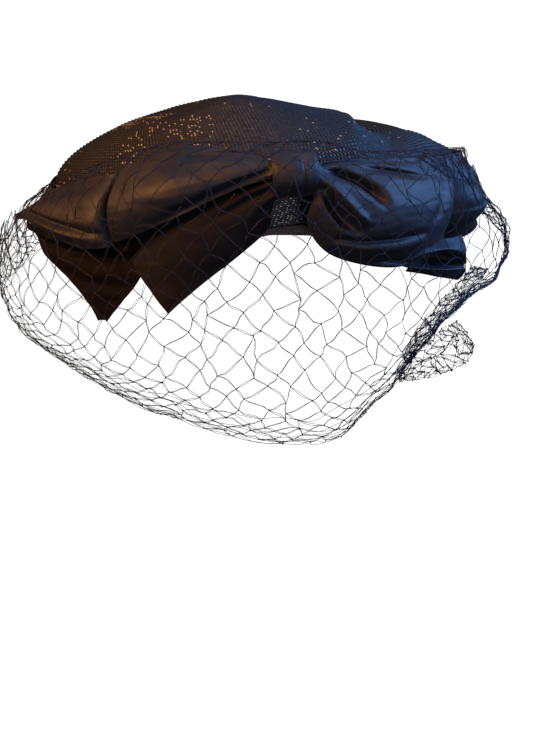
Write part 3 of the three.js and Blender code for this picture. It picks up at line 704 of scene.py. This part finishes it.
def bow_loop(name, sections, folds, seed):
    """A ribbon that goes out from the knot, turns round and comes back behind itself."""
    to_the_right = sections[-1][0] > sections[0][0]
    turn_width = 5 if to_the_right else -2.2
    knot_angle = 6 if to_the_right else -11
    up_steps = 90
    along, up = grid(130, up_steps)
    out = ribbon_points(sections, folds, along, up, seed)
    end_angle, end_height, front_off = [value[-1:] for value in out]
    rest = np.minimum(LOOP_BACK_OFF, front_off - 3)
    t = grid(16, up_steps)[0][1:]
    swing = (1 - np.cos(np.pi * t)) / 2
    turn = (end_angle + turn_width * np.sin(np.pi * t), end_height + 0 * t, mix(front_off, rest, swing))
    _, home, _ = ribbon_chart(sections, np.full((1, up_steps + 1), 0.3), up[:1])
    t = grid(30, up_steps)[0][1:]
    end_off = mix(rest, LOOP_END_OFF, ease(t, 0.5, 1))
    back = mix(end_angle, knot_angle, t), mix(end_height, home, t), end_off
    points = np.concatenate([around(*part) for part in (out, turn, back)])
    if not to_the_right:
        points = points[:, ::-1]
    return cloth(name, points, satin)


KNOT_FROM, KNOT_TO = -7.2, 2.2
KNOT_HEIGHT, KNOT_HALF_HEIGHT = 48.2, 10
KNOT_BACK_OFF, KNOT_REACH = 1.4, 18.6


def bow_knot():
    """The ribbon wrapped over the middle of the bow, with soft pleats down its face."""
    along, up = grid(70, 110)
    turn = np.pi * mix(-0.5, 0.5, up)
    bulge = 1 + 0.07 * np.sin(np.pi * along)
    facing = np.cos(turn)
    pleats = 0.9 * bell((along - 0.68) / 0.035) - 0.35 * bell((along - 0.4) / 0.2)
    side = 1.4 * (bell(along / 0.05) + bell((1 - along) / 0.05))
    stand_off = KNOT_BACK_OFF + KNOT_REACH * bulge * facing**0.7 - (pleats + side) * facing
    stand_off = stand_off + 0.15 * ripple(along * 24, up * 34, 12, 31) * facing
    angle = mix(KNOT_FROM, KNOT_TO, along)
    height = KNOT_HEIGHT + KNOT_HALF_HEIGHT * bulge * np.sin(turn)
    return cloth("wrapped_knot", around(angle, height, stand_off), satin)


# The right tail is folded lengthwise into an open pocket with a flap below it. Each row is a section
# of it: its angle, then (height, stand-off) from the flap's free edge over the lower lip into the
# pocket and out again to the upper lip and up behind the loop.
RIGHT_TAIL = [
    (25, (-0.5, 9), (1, 10.5), (2, 11), (2.5, 7), (3.5, 6), (4.6, 10.5), (7, 10), (10, 6)),
    (29, (-2.4, 10.5), (-0.8, 13), (0.4, 14), (1.2, 7), (4.6, 5), (6.6, 14), (9, 14), (12, 9)),
    (34, (-5.2, 11.5), (-3, 14), (-1.2, 16), (0.6, 6), (5.4, 4), (7.4, 16), (9.6, 15.5), (12.5, 11)),
    (39, (-7.6, 12), (-5, 14.5), (-2.2, 16.5), (-0.4, 7), (4.4, 6), (5.4, 16.5), (8.4, 16), (12, 12.5)),
    (43, (-9.4, 12), (-6.6, 14.5), (-3.4, 16), (-2.2, 10), (0.4, 10), (2, 16), (7, 15.5), (12, 12.5)),
    (45.5, (-9, 11), (-6.8, 12.5), (-4.6, 13.5), (-3.6, 13), (-2.6, 13), (-1, 14), (6, 14), (12, 12)),
]


def folded_tail():
    along, up = grid(90, 120)
    angle = between([row[0] for row in RIGHT_TAIL], along)
    weights = spread(8, up)
    heights, offs = [
        sum(between([row[k + 1][part] for row in RIGHT_TAIL], along) * weights[k] for k in range(8))
        for part in (0, 1)
    ]
    offs = offs + 0.25 * ripple(angle * MM_PER_DEGREE, up * 60, 12, 41, stretch=2)
    return cloth("right_tail", around(angle, heights, offs), satin)


# Sections of the veil at angles round the hat: height and stand-off at its top edge, at three places
# on the way down and at its hem, with the shares of the way down that these five lie at
VEIL_SECTIONS = [
    (-124, (49, 4), (45, 6.5), (38, 11), (27, 17), (15, 19.5)),
    (-106, (45, 4.5), (41, 8), (34, 13), (17, 25), (0, 27)),
    (-86, (43.5, 7), (40, 11), (34, 18), (11, 32), (-11, 33)),
    (-66, (49.5, 6.5), (44.5, 13), (34.5, 23), (4, 32), (-25, 31)),
    (-44, (58.5, 6.5), (51, 19), (33, 26), (-5, 29), (-44, 27)),
    (-32, (64, 3.5), (57, 18), (36, 26.5), (-10, 27), (-56, 23)),
    (-18, (63.5, 4.5), (57, 18), (38, 26.5), (-15, 26), (-67, 17)),
    (-5, (62, 10.5), (56, 23), (38, 28), (-18, 26.5), (-73, 14)),
    (5, (61, 11), (55, 22), (38, 27.5), (-18, 26.5), (-72, 13)),
    (13, (56, 9), (51, 21), (36, 27), (-12, 26), (-59, 13)),
    (20, (55, 8.5), (50, 20), (35, 26.5), (-7, 24), (-49, 13.5)),
    (28, (54.5, 8), (49, 20), (34, 26), (-2, 23), (-35, 13.5)),
    (36, (54, 7), (48, 17), (33, 23), (2, 23), (-24, 15)),
    (46, (53, 5), (46, 9.5), (32, 17), (8, 24.5), (-17, 17)),
    (58, (52.5, 4.5), (44, 7), (29, 14), (9, 26.5), (-14, 21)),
    (76, (51.5, 4), (43, 6.5), (29, 13), (13, 24.5), (0, 26)),
    (92, (51, 4), (44, 7), (33, 14), (22, 21.5), (13, 22)),
    (108, (50.5, 4), (45, 7), (37, 12.5), (28, 17), (20, 17.5)),
    (124, (50.5, 4), (47, 6.5), (42, 10), (35, 15), (28, 16.5)),
]
VEIL_LEVELS = [0, 0.12, 0.25, 0.62, 1]
VEIL_COLUMNS = 46
# The flat net before it is pushed together at its hem
NET_LENGTH, NET_DEPTH, ROW_PITCH = 560, 170, 6.3
STRAND_POINTS = 5
THREAD_GAP = (0.12, 0.4)
HEM_THREADS = (1.0, 0.99, 0.98, 0.965, 0.95, 0.93, 0.91, 0.885)
THREAD_RADIUS, KNOT_RADIUS = 0.14, 0.32

# The ruffle below the hem on the right and three crumpled bunches: beside the ruffle, over the
# right loop and at the left. Each is rows of (angle, height, stand-off) places.
RUFFLE = [
    [(19, -46, 13), (23, -38, 14), (27, -32, 17), (31, -28, 19), (35, -26, 21)],
    [(20, -48, 14), (24, -43, 17), (28.5, -39, 19.5), (33, -36, 22.5), (37, -32, 24)],
    [(20, -50, 14), (25, -50, 18), (30, -48.5, 22.5), (35.5, -45, 26), (38, -38, 26)],
]
BUNCH = [
    [(23, -42, 14), (27, -32, 15.5), (33, -24, 18), (41, -14, 21.5), (47, -5, 24)],
    [(22, -40, 11), (26, -28, 12), (31, -19, 14), (37, -10, 17), (43, -2, 20)],
]
TOP_GATHER = [
    [(31, 52, 7), (36, 52.5, 7.5), (42, 52, 8.5), (49, 49, 10), (55, 45, 11.5)],
    [(30, 44, 18.5), (36, 41, 17.5), (42, 38, 17), (48, 34, 17), (55, 30, 17)],
]
SIDE_CURL = [
    [(-78, 36, 21), (-84, 33, 24), (-88, 28, 28), (-92, 20, 31), (-94, 12, 32)],
    [(-70, 26, 27), (-76, 22, 30), (-80, 16, 33), (-84, 8, 35), (-86, 0, 35.5)],
    [(-62, 18, 28), (-68, 10, 31), (-74, 2, 34), (-80, -4, 36), (-86, -8, 36)],
]


def veil_drop(along):
    """Length of the veil from its top edge to its hem."""
    rows = np.array([row[1:] for row in VEIL_SECTIONS], float)
    lengths = np.linalg.norm(np.diff(rows, axis=1), axis=-1).sum(axis=1)
    angle = mix(VEIL_SECTIONS[0][0], VEIL_SECTIONS[-1][0], along)
    return np.interp(angle, [row[0] for row in VEIL_SECTIONS], lengths)


def veil_place(along, drop):
    """Points of the veil at shares of the way along it and down it."""
    angle = mix(VEIL_SECTIONS[0][0], VEIL_SECTIONS[-1][0], along)
    share = share_at([row[0] for row in VEIL_SECTIONS], angle)
    place = np.clip(share_at(VEIL_LEVELS, drop), 0, 1) * 4
    index = np.minimum(place.astype(int), 3)
    nearby = np.clip(np.stack([index - 1, index, index + 1, index + 2]), 0, 4)
    values = []
    for part in (0, 1):
        levels = [between([row[k][part] for row in VEIL_SECTIONS], share) for k in range(1, 6)]
        picks = np.take_along_axis(np.stack(levels), nearby, axis=0)
        values.append(curve_through(*picks, place - index))
    height, stand_off = values
    x = angle * MM_PER_DEGREE
    sway = 1.5 * ripple(x, height, 38, 61) + 0.7 * ripple(x, height, 15, 62)
    return around(angle, height, stand_off + sway * ease(drop, 0.03, 0.3))


def patch_place(table):
    """A function for the points of a small patch of net from rows of places."""
    def place(along, drop):
        t = np.clip(drop, 0, 1) * (len(table) - 1)
        index = np.minimum(t.astype(int), len(table) - 2)
        ends = np.stack([index, index + 1])
        parts = []
        for part in range(3):
            rows = [between([spot[part] for spot in row], along) for row in table]
            start, end = np.take_along_axis(np.stack(rows), ends, axis=0)
            parts.append(mix(start, end, t - index))
        return around(*parts)
    return place


def packed_drop(along, drop, depth):
    """The share of the way down the veil of a place some millimetres down the flat net, or nothing
    past the net's edge. Rows that find no room are pushed together at the hem."""
    aside = abs(along - 0.5)
    # The net tapers to half its depth at its two ends
    reach = depth * (1 - 0.5 * ease(aside, 0.14, 0.4))
    if drop > reach:
        return None
    loose = 0.8 - 0.3 * ease(aside, 0.24, 0.36)
    length = veil_drop(along)
    spare = np.maximum(np.array([drop, reach]) / length - loose, 0)
    packed = 1 - np.exp(-(2.6 - 1.9 * ease(aside, 0.16, 0.3)) * spare)
    return min(drop / length, loose) + (1 - loose) * packed[0] / packed[1]


def net_knots(columns, rows, draw, looseness, packed):
    """Places of a net's knots along it and down it, by column and row."""
    knots = {}
    for row, level in enumerate(rows):
        room = max(level - rows[max(row - 1, 0)], rows[min(row + 1, len(rows) - 1)] - level)
        for column in range(columns + 1 - row % 2):
            along = np.clip((column + (row % 2) / 2 + draw.normal(0, looseness)) / columns, 0, 1)
            drop = level + draw.normal(0, looseness) * room
            if packed:
                drop = packed_drop(along, drop, rows[-1])
            if drop is not None:
                knots[(column, row)] = (along, np.clip(drop, 0, 1))
    return knots


def net_strands(place, columns, rows, seed, looseness, packed=False):
    """Threads of a diamond net, side by side in pairs from knot to knot, and its knots. The rows
    of a packed net are in millimetres down it."""
    draw = np.random.default_rng(seed)
    knots = net_knots(columns, rows, draw, looseness, packed)
    pairs = []
    for (column, row), start in knots.items():
        for aside in (0, 1):
            other = (column - aside + row % 2, row + 1)
            if other in knots:
                pairs.append((*start, *knots[other]))
    pairs = np.array(pairs)
    share = np.linspace(0, 1, STRAND_POINTS)[None, :]
    along = mix(pairs[:, 0:1], pairs[:, 2:3], share)
    drop = mix(pairs[:, 1:2], pairs[:, 3:4], share)
    paths = place(along, drop)
    outward = unit(paths * (1, 1, 0))
    aside = unit(np.cross(np.gradient(paths, axis=1), outward))
    each = (len(paths), 1, 1)
    bow = np.sin(np.pi * share)[..., None]
    length = np.linalg.norm(paths[:, -1] - paths[:, 0], axis=-1)[:, None, None]
    slack = draw.normal(0, 0.05, each) * length
    wave = draw.normal(0, 0.03, each) * length * np.sin(2 * np.pi * share)[..., None]
    apart = draw.uniform(*THREAD_GAP, each)
    lift = draw.normal(0, 0.4, each)
    both = []
    for side in (-1, 1):
        swing = bow * (slack + side * apart) + wave
        both.append(paths + aside * swing + outward * bow * (lift + 0.2 * side))
    spots = np.array(list(knots.values()))
    middle = place(spots[:, 0:1], spots[:, 1:2])
    tied = middle + np.linspace(-0.5, 0.5, STRAND_POINTS)[None, :, None] * (0, 0, 1)
    radii = np.repeat([THREAD_RADIUS, KNOT_RADIUS], [2 * len(paths), len(tied)])
    return np.concatenate([*both, tied]), radii


def long_threads(place, drops, seed, waviness, pieces, shorter=0):
    """Wavy threads that run along a net in short lengths, each shorter at both ends than the last."""
    steps = STRAND_POINTS - 1
    along = np.linspace(0, 1, pieces * steps + 1)
    wilder = 1 + 4 * ease(abs(along - 0.5), 0.24, 0.36)
    lengths = []
    for k, drop in enumerate(drops):
        wave = waviness * ripple(along * NET_LENGTH, 0 * along, 34, seed + k) * wilder
        line = place(along, np.clip(drop + wave, 0, 1))
        bulge = 0.8 * ripple(along * NET_LENGTH, 0 * along + 9, 30, seed + 40 + k)
        line = line + unit(line * (1, 1, 0)) * bulge[:, None]
        cut = round(shorter * k * pieces)
        lengths += [line[i * steps:i * steps + STRAND_POINTS] for i in range(cut, pieces - cut)]
    return np.array(lengths)


def net_veil():
    rows = np.arange(0, NET_DEPTH, ROW_PITCH)
    six_rows = np.linspace(0, 1, 6)
    nets = [
        net_strands(veil_place, VEIL_COLUMNS, rows, 71, 0.16, packed=True),
        net_strands(patch_place(RUFFLE), 12, np.linspace(0, 1, 9), 73, 0.45),
        net_strands(patch_place(BUNCH), 16, six_rows, 74, 0.5),
        net_strands(patch_place(TOP_GATHER), 12, six_rows, 75, 0.5),
        net_strands(patch_place(SIDE_CURL), 9, six_rows, 76, 0.4),
    ]
    runs = [
        long_threads(veil_place, HEM_THREADS, 81, 0.03, 60, shorter=0.045),
        long_threads(veil_place, (0.0, 0.008), 88, 0.006, 60),
        long_threads(patch_place(RUFFLE), (0.02, 0.1, 0.5, 0.75, 0.88, 0.96, 1.0), 93, 0.1, 10),
        long_threads(patch_place(BUNCH), (0.05, 0.2, 0.35, 0.5, 0.6, 0.7, 0.8, 0.95), 97, 0.2, 10),
    ]
    paths = np.concatenate([paths for paths, _ in nets] + runs)
    radii = np.concatenate([radii for _, radii in nets])
    radii = np.concatenate([radii, np.full(len(paths) - len(radii), THREAD_RADIUS)])
    return threads("net_veil", paths, radii, net_thread)


crown = straw_crown()
binding = rim_binding()
swathe = satin_swathe()
side_swathe = flat_ribbon("side_swathe", SIDE_SWATHE, SIDE_SWATHE_FOLDS, 21, satin)
left_loop = bow_loop("left_loop", LEFT_LOOP, LEFT_LOOP_FOLDS, 22)
right_loop = bow_loop("right_loop", RIGHT_LOOP, RIGHT_LOOP_FOLDS, 23)
front_tail = flat_ribbon("front_tail", FRONT_TAIL, FRONT_TAIL_FOLDS, 24, satin_reverse)
# The outer tail's near-black colour is painted shade
outer_tail = flat_ribbon("outer_tail", OUTER_TAIL, OUTER_TAIL_FOLDS, 25, satin_reverse_painted_shade)
right_tail = folded_tail()
knot = bow_knot()
veil = net_veil()

STANDS_FOR = [
    (crown, "crown", "navy_straw"),
    (binding, "rim_binding", "maroon_grosgrain"),
    (swathe, "satin_swathe", "navy_satin"),
    (side_swathe, "side_swathe_left", "navy_satin"),
    (left_loop, "bow_loop_left", "navy_satin"),
    (right_loop, "bow_loop_right", "navy_satin"),
    (front_tail, "bow_tail_left_front", "navy_satin"),
    (outer_tail, "bow_tail_left_outer", "navy_satin"),
    (right_tail, "bow_tail_right", "navy_satin"),
    (knot, "bow_knot", "navy_satin"),
    (veil, "veil", "navy_net"),
]
for piece, node, slot in STANDS_FOR:
    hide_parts(node)
    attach(piece, "root")


# The radius and rise of the floor's rings from the middle outwards
FLOOR_PROFILE = [
    (600, 0), (1200, 0), (1800, 0), (2200, 40), (2600, 200), (2900, 500), (3100, 1000), (3200, 1800),
    (3200, 3500),
]
FLOOR_HEIGHT = -215
FLOOR_SIDES = 96


def studio_floor():
    """A pale round floor that curves up into its own backdrop on all sides."""
    turn = np.linspace(0, 2 * np.pi, FLOOR_SIDES + 1)[:-1]
    points = [(r * np.cos(t), r * np.sin(t), FLOOR_HEIGHT + h) for r, h in FLOOR_PROFILE for t in turn]
    points.append((0, 0, FLOOR_HEIGHT))
    sides = [(k, (k + 1) % FLOOR_SIDES) for k in range(FLOOR_SIDES)]
    faces = [[k, after, len(points) - 1] for k, after in sides]
    for a in range(0, len(points) - 1 - FLOOR_SIDES, FLOOR_SIDES):
        b = a + FLOOR_SIDES
        faces += [[a + k, b + k, b + after, a + after] for k, after in sides]
    paper, _ = start_material(
        "matt_white_paper", roughness=0.9, base_color=srgb("#f4f4f2"),
        emission_color=srgb("#ffffff"), emission_strength=1.1
    )
    floor = mesh_object("studio_floor", points, faces, paper)
    # The dark satin neither mirrors the backdrop nor is lit by it
    floor.visible_glossy = False
    floor.visible_diffuse = False
    floor.visible_shadow = False
    return floor


def soft_light(name, place, size, power, colour, lit):
    """A disk lamp that shines on the hat, its place and size in metres."""
    light = bpy.data.lights.new(name, "AREA")
    light.shape = "DISK"
    light.size = size
    light.energy = power
    light.color = colour
    lamp = bpy.data.objects.new(name, light)
    lamp.location = place
    lamp.rotation_mode = "QUATERNION"
    lamp.rotation_quaternion = (Vector((0, 0, 0.02)) - Vector(place)).to_track_quat("-Z", "Y")
    lamp.light_linking.receiver_collection = lit
    bpy.context.scene.collection.objects.link(lamp)


studio_floor()
# The tinted lamps light the hat alone, so the backdrop stays white
hat = bpy.data.collections.new("hat")
for piece, _, _ in STANDS_FOR:
    hat.objects.link(piece)
soft_light("warm_key", (-1.35, -0.6, 0.95), 1.4, 64, (1.0, 0.43, 0.16), hat)
soft_light("cool_fill", (1.5, -0.36, 0.75), 1.3, 68, (0.2, 0.43, 1.0), hat)
soft_light("top_soft", (0.4, 0.3, 1.7), 1.0, 7, (0.6, 0.76, 1.0), hat)
soft_light("low_front", (0.1, -1.6, -0.35), 0.5, 7, (0.8, 0.85, 1.0), hat)

world = bpy.data.worlds.new("studio_air")
world.use_nodes = True
world.node_tree.nodes["Background"].inputs["Color"].default_value = (1.0, 1.0, 1.0, 1.0)
world.node_tree.nodes["Background"].inputs["Strength"].default_value = 0.04
bpy.context.scene.world = world
bpy.context.scene.view_settings.view_transform = "Standard"

# The camera's picture is in pixels, its sensor in millimetres and its distance in metres
PICTURE_SIZE = (550, 733)
HAT_MIDDLE = (256, 180)
FOCAL = 1133
SENSOR = 36
CAMERA_DISTANCE = 0.62


def photo_camera():
    """The photo's viewpoint: 10 degrees round to the hat's right, 3 degrees above it, with the
    camera rolled by 3.3 degrees."""
    azimuth, elevation, roll = np.radians([-10, 3, 3.3])
    level = np.cos(elevation)
    back = Vector((np.sin(azimuth) * level, -np.cos(azimuth) * level, np.sin(elevation)))
    right = (-back).cross(Vector((0, 0, 1))).normalized()
    up = right.cross(-back)
    rolled_right = right * np.cos(roll) - up * np.sin(roll)
    rolled_up = right * np.sin(roll) + up * np.cos(roll)
    wide, high = PICTURE_SIZE
    across, down = HAT_MIDDLE
    aim = Vector(((across - wide / 2) / FOCAL, (high / 2 - down) / FOCAL, -1)).normalized()
    turn = aim.rotation_difference(Vector((0, 0, -1))).to_matrix()
    axes = Matrix((rolled_right, rolled_up, back)).transposed() @ turn
    camera = bpy.data.objects.new("camera", bpy.data.cameras.new("camera"))
    place = Vector((0, 0, 0.04)) + back * CAMERA_DISTANCE
    camera.matrix_world = Matrix.Translation(place) @ axes.to_4x4()
    camera.data.sensor_width = SENSOR
    camera.data.lens = FOCAL / high * SENSOR
    camera.data.clip_start = 0.01
    bpy.context.scene.collection.objects.link(camera)
    bpy.context.scene.camera = camera


photo_camera()
